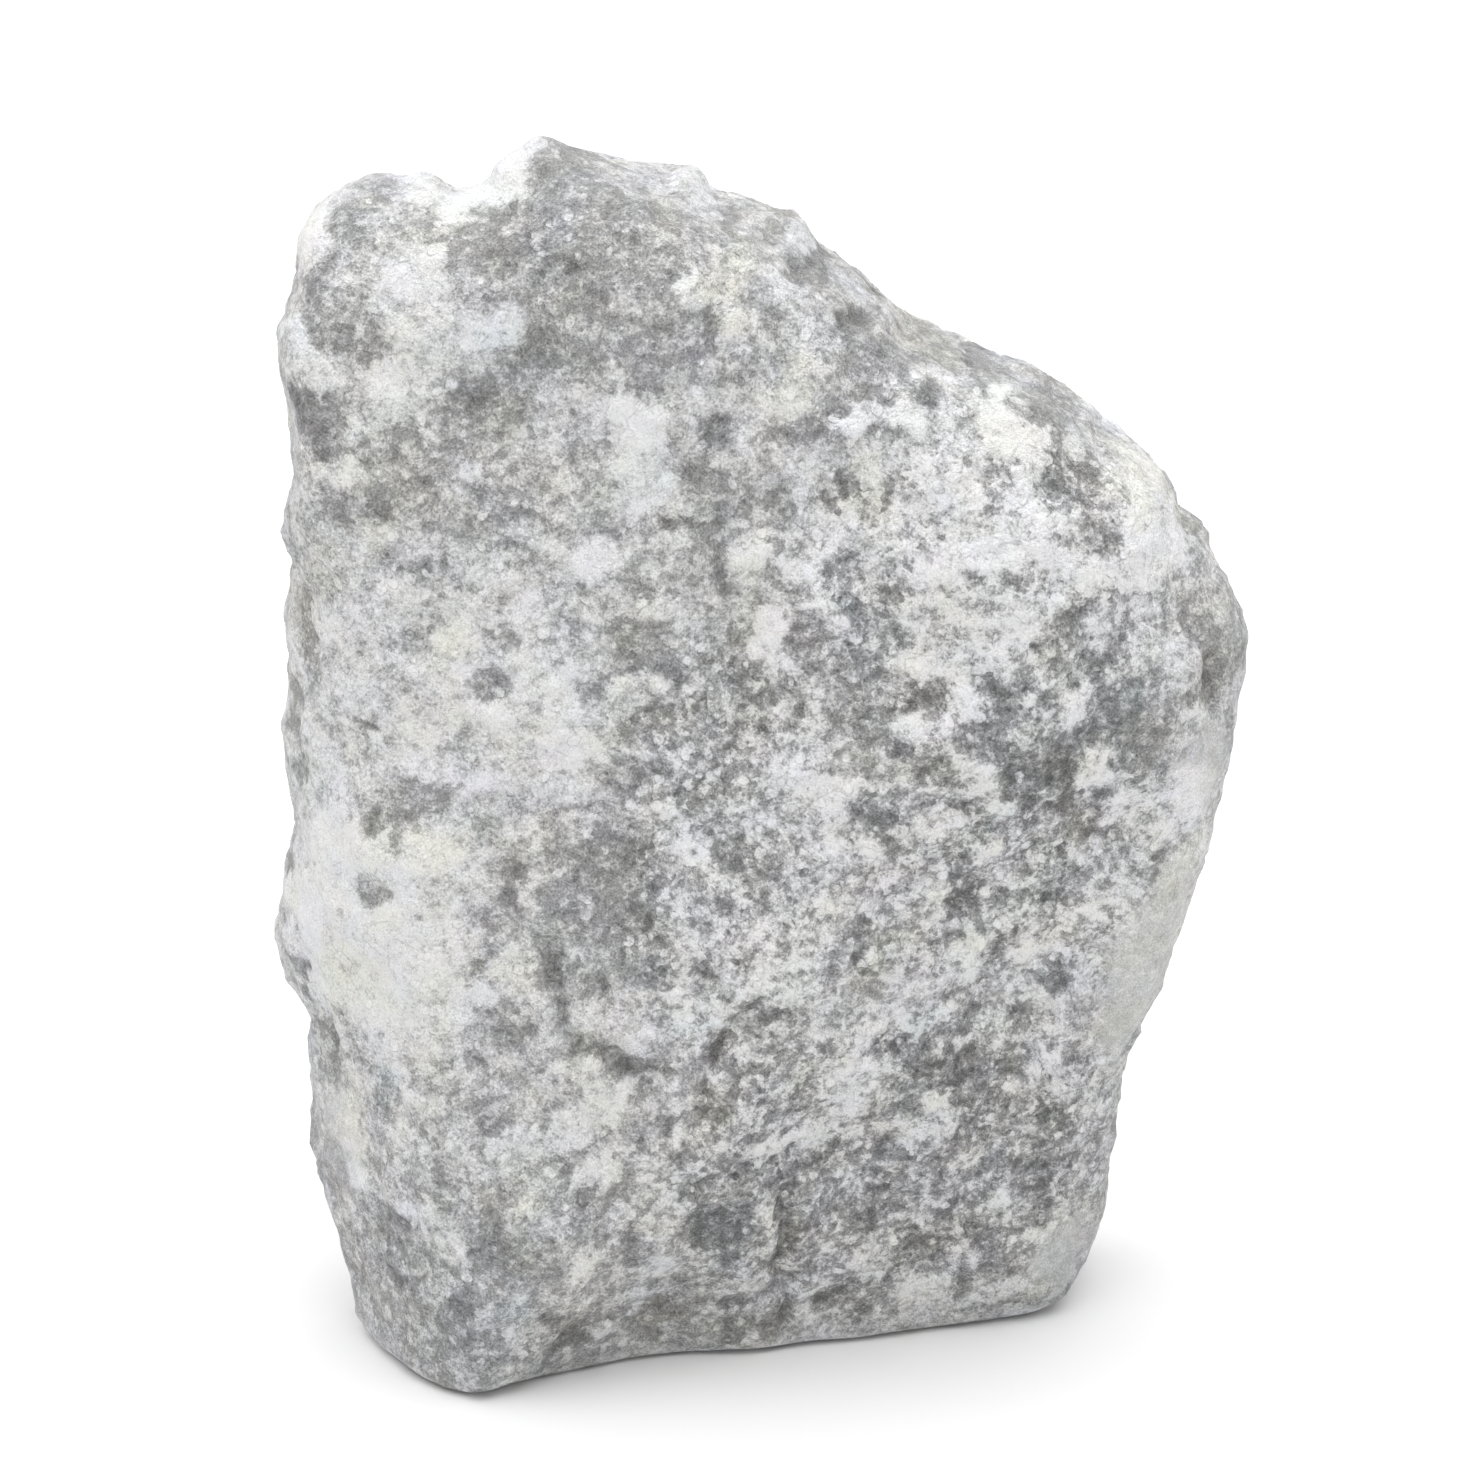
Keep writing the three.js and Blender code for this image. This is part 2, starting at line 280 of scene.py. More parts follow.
    (-38.6, 63.6, 2, 1.6, 30, 0.85, -0.2),
    (-25, 58, 4.2, 1.8, 0, 0.35, 0.2),
    (-16.8, 58, 2.2, 1.8, 0, 0.5, 0.1),
    (-8, 58, 5, 2.2, 5, 0.4, -0.6),
    (-11, 63, 2, 1.8, 0, 0.5, 0),
    (-2, 65, 2.2, 2, 0, 0.4, -0.2),
    (-25, 52.4, 4, 1.8, -10, 0.45, 0.3),
    (-23, 45.6, 6.6, 3, 36, 0.85, 0),
    (-31, 42, 2.2, 1.9, 0, 0.7, 0),
    (-8, 48.6, 1.8, 2.6, 0, 0.35, 0.6),
    (-11.6, 41.2, 1.2, 1.2, 0, 0.75, 0),
    (-21.2, 37.2, 2.6, 2.2, -10, 0.95, 0.1),
    (-14, 36, 3, 4, 0, 0.35, 0.2),
    (-8, 36, 1.5, 1.4, 0, 0.55, 0),
    (-32.6, 31.6, 2.2, 1.6, 0, 0.55, 0.8),
    (-35, 37, 1.5, 1.5, 0, 0.4, 0),
    (-47, 46.4, 2.6, 2, 0, 0.45, 0.6),
    (-58, 37, 2.6, 5.4, 0, 0.45, 0.6),
    (-57, 29.6, 2, 1.8, 0, 0.65, 0),
    (-49, 28.4, 1.5, 1.4, 0, 0.65, -0.5),
    (-45, 25.6, 3.6, 4, 0, 0.25, 0.1),
    (-24.6, 22, 2.5, 3, -30, 0.95, 0.5),
    (-13.4, 19, 3, 2.8, 0, 0.55, 0),
    (-12.4, 27, 2.6, 4.6, 0, 0.4, 0.1),
    (-22, 7.6, 1.5, 1.2, 0, 0.65, 0),
    (-19, 5, 1.3, 1.2, 0, 0.65, 0),
    (-25, 15, 1.3, 1.2, 0, 0.55, 0),
    (-36, 4, 3, 2, 0, 0.35, 0),
    (5, 142, 3, 1.8, 0, 0.3, 0),
    (23, 116.4, 1.8, 2, 0, 0.45, 0),
    (-55, 114.4, 6, 3.4, 0, 0.5, 0.1),
    (-18, 105, 2.2, 2.8, 0, 0.3, 0),
    (-24.4, 88, 2.2, 2, 0, 0.35, 0),
    (-30.6, 80, 1.8, 2.4, 0, 0.35, 0),
    (40, 109.6, 1.8, 1.5, 0, 0.45, 0),
    (56.6, 83.6, 3, 2.8, 0, 0.4, 0),
    (24.6, 62.4, 2.8, 1.5, 8, 0.45, 0),
    (-59.6, 21, 2, 4, 0, 0.4, 0.1),
    (-17, 12.6, 2.4, 1.6, 0, 0.35, 0.2),
    (-4.4, 10.2, 2.4, 1.3, 8, 0.65, 0.4),
    (18.4, 54.4, 2.2, 1.7, 0, 0.45, 0),
    (19, 40, 2.8, 1.5, 0, 0.45, 0),
)
DARK_CLOTS = (
    (-52.5, 170.6, 6, 4, 0, -0.1, 0),
    (-51.5, 176, 3, 0.8, 0, -0.3, 0.1),
    (-44.4, 175.6, 1.3, 1, 0, -0.6, 0.1),
    (-37, 166, 5.5, 4.4, -10, -0.36, 0),
    (-30, 167, 5, 3.6, -15, -0.6, -0.1),
    (-23.5, 165.6, 5.4, 3.2, -10, -0.6, -0.1),
    (-14, 171.6, 4.5, 2.2, -5, -0.45, 0),
    (-25, 177, 4.5, 2.4, -18, -0.4, 0.1),
    (-24, 173, 6.5, 4, -18, -0.45, 0.1),
    (-59.5, 157, 2.2, 4, 10, -0.35, 0),
    (-53, 155, 2.8, 4.2, 0, -0.35, 0.1),
    (-59.4, 145.4, 4.2, 4.2, 0, -0.8, -0.1),
    (-58.6, 141, 2, 2, 0, -0.85, 0.1),
    (-40, 146, 5.4, 2.2, 14, -0.45, 0.2),
    (-37.6, 148.4, 4, 1.6, 0, -0.4, 0),
    (-33, 146, 3, 3.4, -20, -0.4, 0.8),
    (-29.5, 153.4, 4, 2.2, -10, -0.4, 0.1),
    (-13, 155, 7, 5, 0, -0.4, 0),
    (-5, 144.5, 3.4, 2.5, -10, -0.85, -0.1),
    (-6, 138, 4, 2.4, -8, -0.6, 0),
    (-10.6, 131.6, 3.2, 1.2, -8, -1.0, 0),
    (-8, 124, 3.6, 3.6, 0, -0.25, 0),
    (-51.6, 134, 1.6, 2.8, -30, -0.55, -0.4),
    (-57, 132.4, 3, 1.6, 0, -0.3, 0),
    (-33, 135, 5, 5, 0, -0.3, 0),
    (-45, 124, 5, 2.4, -10, -0.35, -0.2),
    (3, 168.2, 2.4, 1.4, 0, -0.35, 0.5),
    (-3, 170, 1.2, 1.2, 0, -0.5, 0),
    (6.4, 163.4, 2.8, 1.2, -12, -0.7, 0),
    (10, 163.4, 1.4, 2.2, 0, -0.6, 0),
    (2, 158.6, 1.5, 1.5, 0, -0.5, 0),
    (13.6, 156.6, 3, 2, -20, -1.0, 0),
    (17, 159.4, 1.2, 2.6, 30, -0.75, 0.5),
    (16.5, 152.8, 6, 2.2, -8, -0.45, 0),
    (24.5, 153, 5, 2.4, -22, -0.15, 0.5),
    (9.4, 153.4, 1.3, 1, 0, -0.75, 0),
    (7.4, 144.4, 2.2, 2.8, -20, -0.45, 0),
    (11, 147.2, 2.6, 1.4, 20, -0.55, 0),
    (15, 148.6, 2, 1.4, 0, -0.6, 0.6),
    (18.6, 147.6, 1.5, 1.2, 0, -0.75, 0),
    (16.6, 142.6, 2.4, 1.5, -15, -0.5, 0),
    (23.6, 147.3, 1.5, 1.2, 0, -0.85, 0),
    (31.5, 150, 1.4, 2, 0, -0.65, 0),
    (41.5, 144, 5, 3.2, -30, -0.25, 0.1),
    (40.4, 138, 1.4, 2, 0, -0.6, 0),
    (44.6, 134.8, 4, 3.2, 10, -0.38, 0),
    (46, 128, 3.6, 2.6, -12, -0.25, 0.2),
    (49, 128.4, 1.4, 1.6, 0, -0.5, 0),
    (16, 134, 4, 3, -20, -0.1, 0.7),
    (12.6, 137, 1.6, 2.2, 0, -0.75, 0),
    (3, 135, 2.6, 2, 0, -0.5, 0.3),
    (36.6, 123, 2.3, 1, 0, -0.5, 0),
    (30, 125, 1.8, 0.8, 0, -0.55, 0),
    (33, 138, 2, 1.6, 0, -0.3, 0),
    (12, 125.4, 2.6, 2.4, 0, -0.65, 0),
    (13.6, 119.6, 2, 1.8, 0, -0.65, -1.0),
    (18, 123, 3, 2.6, 0, -0.4, 0),
    (17.4, 117.6, 2.8, 2, 0, -0.45, 0),
    (7, 115.4, 3, 4, 0, -0.45, 0),
    (43.4, 117.8, 2.6, 1.6, -10, -0.65, 0),
    (61, 115, 2.6, 2.8, 0, -0.35, 0),
    (63.4, 127, 1.8, 2, 0, -0.4, 0.2),
    (62, 112, 3, 1.5, 0, -0.4, 0.1),
    (66, 106, 3, 4.4, 0, -0.45, 0.6),
    (61.4, 104.6, 1.3, 1.3, 0, -0.55, 0),
    (18.4, 107, 1.6, 2.6, 0, -0.75, 0),
    (23.6, 107.4, 3, 1.7, -8, -0.6, 0),
    (15.4, 105.4, 4.2, 4.4, 0, -0.5, -0.2),
    (25.4, 115.6, 1, 2, 0, -0.55, 0),
    (31, 101.6, 3.2, 1.8, 8, -0.8, 0),
    (34.8, 107, 1.4, 2, 20, -0.8, 0.1),
    (38, 113, 1.3, 1.2, 0, -0.85, 0.1),
    (42.2, 115.8, 1.6, 1, 0, -0.55, 0),
    (46.6, 111, 3, 1.9, -15, -0.75, -0.6),
    (50.4, 104.4, 4, 4.4, -20, -0.85, -0.8),
    (45.6, 109.4, 1.8, 1.8, 0, -0.7, -0.6),
    (54.6, 98, 3.4, 3, 0, -0.65, 0),
    (36.6, 95, 2.8, 3.4, 0, -1.0, 0),
    (42.4, 97, 2.2, 3.6, -15, -0.95, 0),
    (43.8, 90.4, 2.8, 2.6, 0, -0.95, 0),
    (38.4, 89.8, 2.4, 3, 0, -0.95, 0),
    (23, 91.5, 3, 2, 0, -0.4, 0),
    (25.4, 96, 3, 3.2, 0, -0.4, 0.3),
    (16.4, 90, 3, 3.4, 0, -0.65, -0.2),
    (19.6, 87.6, 1.4, 1.2, 0, -0.5, 0),
    (33, 86.6, 1.5, 1.5, 0, -0.65, -1.0),
    (35.2, 86, 1.4, 2, 0, -0.95, 0),
    (29.5, 83, 2.3, 1.2, 0, -0.65, 0.3),
    (29.8, 77, 2.8, 4, 15, -0.75, 0),
    (46, 85.4, 3, 2.4, 0, -0.6, 0.5),
    (32, 72, 2, 2, 0, -0.5, 0),
    (17.4, 70.4, 2.4, 2.2, 0, -0.6, 0.3),
    (43, 77, 3.2, 3.8, -20, -0.65, -0.5),
    (57.4, 76.6, 2.8, 1.3, 40, -0.6, 0),
    (15.2, 72, 1.5, 3.6, -10, -0.85, 0.1),
    (10.6, 68, 0.8, 2.6, 0, -0.65, 0.1),
    (16.6, 64, 2.4, 3.8, -10, -0.4, 0.8),
    (34.6, 66.4, 1.8, 2.6, 0, -0.5, 0),
    (43.4, 61.6, 2.4, 1.9, -20, -0.85, -0.9),
    (7.4, 60.4, 3.6, 1.8, 5, -0.55, 0.1),
    (31.6, 56.6, 2, 1.7, 0, -0.65, 0),
    (38.8, 55.4, 1.8, 3.2, -10, -0.65, 0),
    (29, 48, 7.4, 3.4, 4, -0.8, 0),
    (37.6, 47.4, 1.8, 3, 0, -0.35, 0.9),
    (5, 45.8, 4.4, 3.2, 0, -0.28, 0.1),
    (43.4, 38, 1.9, 2.1, 0, -0.75, -0.6),
    (43, 27.4, 2.4, 2, 0, -0.75, -0.8),
    (41.4, 31, 3.2, 1.8, 0, -0.45, 0),
    (13, 34, 2.2, 1.2, 10, -0.55, 0),
    (4, 32.6, 7, 2, 4, -0.45, 0),
    (5, 53, 2.6, 2.6, 0, -0.3, 0),
    (19.6, 34.4, 1.8, 1.4, 0, -0.4, -0.8),
    (35, 31, 2.4, 2.2, 0, -0.65, -0.6),
    (42.8, 22.6, 2, 2.4, 0, -0.7, 0),
    (17, 27, 5.4, 3.2, 0, -0.25, 0),
    (-4.6, 25.6, 4.8, 5.6, 0, -0.85, -0.6),
    (6.6, 23.6, 1.4, 4.2, 0, -0.4, 1.0),
    (5, 25, 0.8, 5, 0, -0.7, 0.2),
    (2.4, 17, 2.6, 2.8, 0, -0.55, 0.5),
    (12, 9.4, 2.6, 1.4, 10, -0.7, 0.1),
    (3, 6, 2, 2.8, 0, -0.55, 0.8),
    (24, 16, 3.8, 3, 0, -0.5, 0.2),
    (34, 18, 3, 1.7, 0, -0.6, 0),
    (31, 8.4, 1.5, 2.8, 0, -0.55, 0),
    (17, 8, 3.4, 2.2, 10, -0.45, 0.5),
    (-47, 114.6, 2.8, 2, -20, -0.12, 0),
    (-34.6, 114.6, 1.8, 2.6, -10, -0.25, 0),
    (-36.6, 108.6, 3.4, 1.8, -12, -0.4, 0),
    (-23, 108, 2.4, 2.2, 0, -0.35, 0),
    (-62.6, 114, 1.8, 4.6, 0, -0.3, 0.8),
    (-64.6, 103, 1.7, 2, 0, -0.55, 0.2),
    (-65, 98, 1.1, 2, 0, -0.5, 0.1),
    (-64.4, 92, 1.2, 2.6, 0, -0.45, 0.2),
    (-15, 115, 4.6, 3.8, 0, -0.5, 0),
    (-14.6, 111, 4.6, 1.4, 14, -0.8, 0),
    (-14, 104, 3.8, 2.4, 0, -0.5, 0.5),
    (-5, 107, 4.4, 3, 0, -0.45, 0),
    (-4, 98.6, 4, 1.5, 10, -0.65, 0),
    (-16, 95, 4.4, 4, 0, -0.5, 0),
    (-7, 94, 4, 3, 0, -0.35, 0),
    (-48, 91.6, 6, 3.4, 5, -0.42, 0),
    (-53, 88.6, 2, 2.2, 0, -0.5, 0.7),
    (-54, 101.3, 1.3, 1, 0, -0.75, 0.2),
    (-53.6, 78, 2, 2.6, 20, -0.45, 0.4),
    (-49.5, 85, 1.8, 1.8, 0, -0.25, 0.9),
    (-67.6, 75, 1, 2.6, 0, -0.5, 0.2),
    (-65.8, 58.6, 1.1, 3.4, 0, -0.6, -0.2),
    (-63.6, 52.6, 1.2, 3.6, 0, -0.25, 0),
    (-37, 88, 3, 3, 0, 0.1, -0.6),
    (-28.6, 87, 1.5, 4, 0, -0.5, 0.2),
    (-34, 82, 2, 1.6, -15, -0.65, 0.2),
    (-34, 78, 1.2, 2.6, 0, -0.8, 0),
    (-22.6, 84.6, 2, 1.2, 10, -0.75, 0),
    (-16, 84, 4.2, 3, -15, -0.7, 0),
    (-24.6, 77.4, 3.6, 3.6, -25, -0.55, 0),
    (-36, 73, 3.4, 3.2, 0, -0.2, 0),
    (-17.4, 75, 3.6, 4, 0, -0.6, 0),
    (-3.6, 84, 3, 3.6, 0, -0.4, 0),
    (-3.6, 75, 1.6, 1.5, 0, -0.55, 0),
    (-16.4, 67.2, 3.2, 2.6, 0, -0.6, -0.8),
    (-22, 65, 2, 1.8, 0, -0.75, -0.2),
    (-28.6, 68, 1.2, 2.4, -20, -0.7, 0.2),
    (-39, 68, 1.3, 1.5, 0, -0.45, 0.9),
    (-34, 57.4, 2.8, 2.4, 0, -0.55, 0),
    (-23.6, 55.6, 4, 0.8, -14, -0.8, 0.3),
    (-4.6, 55.6, 1.8, 2.4, -15, -0.65, 0.6),
    (1.6, 60, 2, 1.4, 0, -0.5, 0),
    (-7, 66.6, 3, 1, -8, -0.5, 0),
    (-52.4, 47.4, 2.6, 2.8, 0, 0.12, -0.8),
    (-38, 43.6, 1, 1.1, 0, -0.75, 0),
    (-35.4, 46, 3.4, 3.6, 0, -0.25, 0),
    (-15, 52.6, 4.6, 2.2, -14, -0.7, 0),
    (-6, 46.2, 3.2, 3.4, -10, -0.7, 0.7),
    (-12, 43.6, 3, 1.4, 10, -0.75, -0.1),
    (-26, 35.4, 2, 3.4, 20, -0.65, 0),
    (-17.6, 24, 1.2, 3, 0, -0.65, 0),
    (-37, 26, 4.6, 3.4, 10, -0.4, -0.5),
    (-36.4, 27.6, 1.8, 1.4, 0, -0.75, -0.2),
    (-34, 16, 2.6, 4.6, 0, 0.05, -1.0),
    (-41, 16.4, 2.8, 2.8, 0, -0.65, 0.1),
    (-51, 26, 2.5, 1.8, -15, -0.65, 0),
    (-54, 22.8, 2, 1.5, 0, -0.5, 0),
    (-52, 16, 2.6, 1.3, 10, -0.8, 0.1),
    (-41, 1.6, 2.2, 1, 0, -0.6, 0.2),
    (-27, 8, 3.2, 2.2, 15, -0.75, 0.4),
    (-14, 9.4, 3.6, 2.2, 10, -0.4, 0.9),
    (-11, 7.6, 1, 3, 0, -0.35, 1.0),
    (-29, 13, 1.5, 1.5, 0, -0.65, 0),
    (-3, 5.4, 2.6, 3, 0, -0.35, 0.6),
    (-13, 168, 3.8, 2.4, -5, -0.35, 0),
    (35, 148.4, 3, 1.8, -22, -0.3, 0.2),
    (9, 133.4, 2.2, 1.5, 0, -0.4, 0),
    (-41, 98.4, 3.6, 2.6, 0, -0.08, -0.2),
    (-19.6, 89, 1.8, 2.8, 0, -0.45, 0),
    (-8.4, 79.4, 2.2, 2.2, 0, -0.4, 0),
    (36.2, 74.4, 2.4, 2.4, 0, -0.5, 0),
    (3, 84, 2.2, 2.8, 0, -0.35, 0),
    (48.6, 99.2, 1.8, 1.5, 0, -0.65, -0.2),
    (12, 30.8, 2.2, 1.6, 0, -0.45, 0),
    (36.4, 27, 1.8, 2.2, 0, -0.5, 0),
    (46, 36, 1.6, 2.8, 0, -0.35, 0),
    (-8, 31.6, 2.8, 1.7, 0, -0.45, 0),
    (-17, 33, 2, 2.2, 0, -0.3, 0),
)

# How the tone shifts: painted shade darkens it towards the foot, in the creases and on top-facing
# surfaces, and painted light from the floor makes it pale at the very foot
FOOT_PAINTED_SHADE = 0.3
FOOT_PAINTED_SHADE_HEIGHT = 75.0
CREASE_PAINTED_SHADE = 0.5
TOP_PAINTED_SHADE = 0.1
FLOOR_PAINTED_LIGHT = 0.5

# The edges of the patches: how far noise pulls them about, and how soft they are
RAGGED_REACH = 1.7
FIELD_DRIFT = 4.0
FIELD_SOFTNESS = 0.45
CLOT_SOFTNESS = 0.25

# Where no patch is laid, on the sides and the back, clouds of noise give the tone
CLOUD_GAIN = 1.2

# How far the outer edges all round are rubbed, from 0 to 1
RUBBED_RIM = 0.55

# The smooth bevels, where the mottle is rubbed to an even grey: x, z, half width, half height, turn
RUBBED = (
    (57, 62, 5, 18, -17),
    (64, 92, 4, 8, -8),
    (47, 12, 5, 7, -20),
    (-60, 34, 3, 10, 5),
)

# How strongly the small flecks break up the surface: x, z, half width, half height, turn
FLECKED = (
    (30, 120, 26, 24, -10),
    (34, 82, 26, 22, 0),
    (20, 34, 34, 26, 0),
    (-2, 84, 16, 34, 0),
)

# How many of each size of mineral there are to the millimetre
CLOT_SCALE = 0.15
FLECK_SCALE = 0.42
CRUMB_SCALE = 0.5
CELL_SCALE = 1.2
SPECK_SCALE = 2.7
GRAIN_SCALE = 3.6
VEIN_SCALE = 0.2

# How strongly each size of mineral marks the stone, in the material's grey level
BASE_LEVEL = 0.528
TONE_STRENGTH = 0.25
CLOT_STRENGTH = 0.19
FLECK_STRENGTH = 0.265
CRUMB_STRENGTH = 0.17
CELL_STRENGTH = 0.17
SPECK_STRENGTH = 0.13

# The grey of the stone at each level, the colours that tint it, and the floor
STONE_GREYS = ((0.00, 0.095), (0.24, 0.175), (0.43, 0.32), (0.55, 0.53), (0.66, 0.69), (1.00, 0.79))
WARM_TINT = (0.99, 0.985, 0.905, 1.0)
COOL_TINT = (0.92, 0.975, 0.99, 1.0)
MINERAL_TINT_RANGE = (0.11, 0.0, 0.27)
MINERAL_TINT_LEAST = (0.946, 1.0, 0.867)
VEIN_COLOUR = (0.2, 0.2, 0.195, 1.0)
FLOOR_COLOUR = (0.82, 0.82, 0.82, 1.0)


def fractal(places, wave, octaves, shift):
    """Lumpy noise around zero, one value for each place, with waves of this length."""
    step = Vector((shift, shift * 0.7, -shift))
    return np.array([noise.fractal(Vector(p) / wave + step, 0.9, 2.1, octaves) for p in places])


def chips(places, size):
    """Small flat breaks of about this size, each with its own lean."""
    heights = np.empty(len(places))
    half = Vector((0.5, 0.5, 0.5))
    for i, place in enumerate(places):
        spot = Vector(place) / size + Vector((size, size, size))
        distances, middles = noise.voronoi(spot)
        lean = noise.cell_vector(middles[0] * 31.0) - half
        seam = min((distances[1] - distances[0]) / 0.12, 1.0)
        heights[i] = lean.dot(spot - middles[0]) * 2.0 * seam
    return heights


def smooth_step(value, low, high):
    part = np.clip((value - low) / (high - low), 0.0, 1.0)
    return part * part * (3.0 - 2.0 * part)


def inside_patch(x, z, patch, softness=CLOT_SOFTNESS):
    """1 in the middle of a turned oval patch, falling to 0 a little outside it."""
    middle_x, middle_z, half_x, half_z, turn = patch[:5]
    angle = math.radians(turn)
    along = (x - middle_x) * math.cos(angle) + (z - middle_z) * math.sin(angle)
    across = (z - middle_z) * math.cos(angle) - (x - middle_x) * math.sin(angle)
    away = np.hypot(along / half_x, across / half_z)
    return 1.0 - smooth_step(away, 1.0 - softness, 1.0 + softness)


def crease_depth(x, z, points, depth, width):
    """How far a crease along these points cuts in at each place."""
    nearest = np.full(len(x), 1e9)
    for (x0, z0), (x1, z1) in zip(points, points[1:]):
        run_x, run_z = x1 - x0, z1 - z0
        along = ((x - x0) * run_x + (z - z0) * run_z) / (run_x ** 2 + run_z ** 2)
        along = np.clip(along, 0.0, 1.0)
        nearest = np.minimum(nearest, np.hypot(x - x0 - along * run_x, z - z0 - along * run_z))
    return depth * np.exp(-((nearest / width) ** 2))


def smooth_copy():
    """The frame's stone with its facets rounded over and divided finely."""
    shape = bmesh.new()
    shape.from_mesh(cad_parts["stone"].data)
    bmesh.ops.remove_doubles(shape, verts=shape.verts, dist=0.01 * MM)
    bmesh.ops.join_triangles(
        shape, faces=shape.faces, angle_face_threshold=math.pi, angle_shape_threshold=math.pi
    )
    mesh = bpy.data.meshes.new("stone_facets")
    shape.to_mesh(mesh)
    shape.free()
    facets = bpy.data.objects.new("stone_facets", mesh)
    bpy.context.scene.collection.objects.link(facets)
    rounding = facets.modifiers.new("rounding", "SUBSURF")
    rounding.levels = SMOOTHING_LEVELS
    rounding.render_levels = SMOOTHING_LEVELS
    evaluated = facets.evaluated_get(bpy.context.evaluated_depsgraph_get())
    finished = bpy.data.meshes.new_from_object(evaluated)
    finished.name = "soapstone_block"
    bpy.data.objects.remove(facets)
    return finished


def read_points(mesh, name):
    values = np.empty(len(mesh.vertices) * 3)
    mesh.vertices.foreach_get(name, values)
    return values.reshape(-1, 3)


def write_values(mesh, name, values):
    attribute = mesh.attributes.new(name, "FLOAT", "POINT")
    attribute.data.foreach_set("value", values.astype(np.float32))


def crease_wander(places):
    """How far each place is moved before the creases are laid, so that they come out uneven."""
    return CREASE_WANDER * fractal(places, 4.0, 2, 5.0)


def crease_lines(x, z, wander):
    """1 in the middle of a crease, 0 away from all of them."""
    lines = np.zeros(len(x))
    for points, _, width in CREASES:
        lines = np.maximum(lines, crease_depth(x + wander, z + wander, points, 1.0, width))
    return lines


def rubbed_share(x, z, front):
    """1 on the smooth bevels of the front, 0 away from them."""
    rubbed = np.zeros(len(x))
    for patch in RUBBED:
        rubbed = np.maximum(rubbed, front * inside_patch(x, z, patch))
    return rubbed


def break_surface(mesh, tone):
    """Chips, grain and creases, pushed in or out along the surface, with the white clots left proud."""
    places = read_points(mesh, "co") / MM
    normals = read_points(mesh, "normal")
    height = np.zeros(len(places))
    for wave, amount in GRAIN_WAVES:
        height += amount * fractal(places, wave, 2, wave)
    for size, amount in CHIP_SIZES:
        height += amount * chips(places, size)
    x, z = places[:, 0], places[:, 2]
    front = smooth_step(-normals[:, 1], -0.1, 0.2)
    wander = crease_wander(places)
    for points, depth, width in CREASES:
        height -= CREASE_GAIN * front * crease_depth(x + wander, z + wander, points, depth, width)
    for nick_x, nick_z, radius, depth in NICKS:
        height -= depth * np.exp(-((x - nick_x) ** 2 + (z - nick_z) ** 2) / radius ** 2)
    height += WHITE_RAISE * tone
    height *= 1.0 - RUBBED_SMOOTHING * rubbed_share(x, z, front)
    height *= smooth_step(z, 0.0, FOOT_FADE)
    places += normals * height[:, None]
    places[:, 2] = np.maximum(places[:, 2], 0.0)
    mesh.vertices.foreach_set("co", (places * MM).ravel())
    mesh.update()


def paint_markings(mesh):
    """Tone, tint, rubbed and flecked values for the stone's material to mix; the tone also carries
    painted shade and painted light, and is given back.
    """
    places = read_points(mesh, "co") / MM
    normals = read_points(mesh, "normal")
    x, z = places[:, 0], places[:, 2]
    ragged_x = x + RAGGED_REACH * fractal(places, 4.0, 3, 3.0)
    ragged_z = z + RAGGED_REACH * fractal(places, 4.0, 3, 9.0)
    front = smooth_step(-normals[:, 1], -0.35, 0.15)
    clouds = 0.8 * fractal(places, 26.0, 3, 17.0) + fractal(places, 7.0, 3, 23.0)
    tone = np.clip(CLOUD_GAIN * clouds, -1.0, 1.0)
    tint = fractal(places, 30.0, 2, 31.0)
    front_tone = np.zeros(len(places))
    front_tint = np.zeros(len(places))
    drift = FIELD_DRIFT * fractal(places, 13.0, 3, 41.0)
    layers = (
        (FIELDS, drift, FIELD_SOFTNESS),
        (WHITE_CLOTS + DARK_CLOTS, 0.0, CLOT_SOFTNESS),
    )
    for patches, shift, softness in layers:
        for patch in patches:
            share = inside_patch(ragged_x + shift, ragged_z - shift, patch, softness)
            patch_tone, patch_tint = patch[5:]
            front_tone += (patch_tone - front_tone) * share
            front_tint += (patch_tint - front_tint) * share
    tone += (front_tone - tone) * front
    tint += (front_tint - tint) * front
    # Painted shade: the tone is darkened along the creases, where shade falls
    tone -= CREASE_PAINTED_SHADE * front * crease_lines(x, z, crease_wander(places))
    rim = 1.0 - smooth_step(np.abs(normals[:, 1]), 0.2, 0.75)
    rubbed = np.maximum(rubbed_share(ragged_x, ragged_z, front), RUBBED_RIM * rim)
    flecked = np.zeros(len(places))
    for patch in FLECKED:
        flecked = np.maximum(flecked, inside_patch(ragged_x, ragged_z, patch))
    flecked = front * flecked + (1.0 - front) * smooth_step(clouds, -0.3, 0.3)
    # Painted shade: the tone grows darker towards the foot, where less light reaches
    tone -= FOOT_PAINTED_SHADE * (1.0 - smooth_step(z, 0.0, FOOT_PAINTED_SHADE_HEIGHT))
    # Painted shade: surfaces facing up are darkened, against the strong light from above
    tone -= TOP_PAINTED_SHADE * smooth_step(normals[:, 2], 0.3, 0.9)
    # Painted light: the very foot is made paler, standing in for light thrown up from the floor
    tone += FLOOR_PAINTED_LIGHT * (1.0 - smooth_step(z, 0.5, 4.5))
    write_values(mesh, "tone", tone)
    write_values(mesh, "tint", tint)
    write_values(mesh, "rubbed", rubbed)
    write_values(mesh, "flecked", flecked)
    return tone


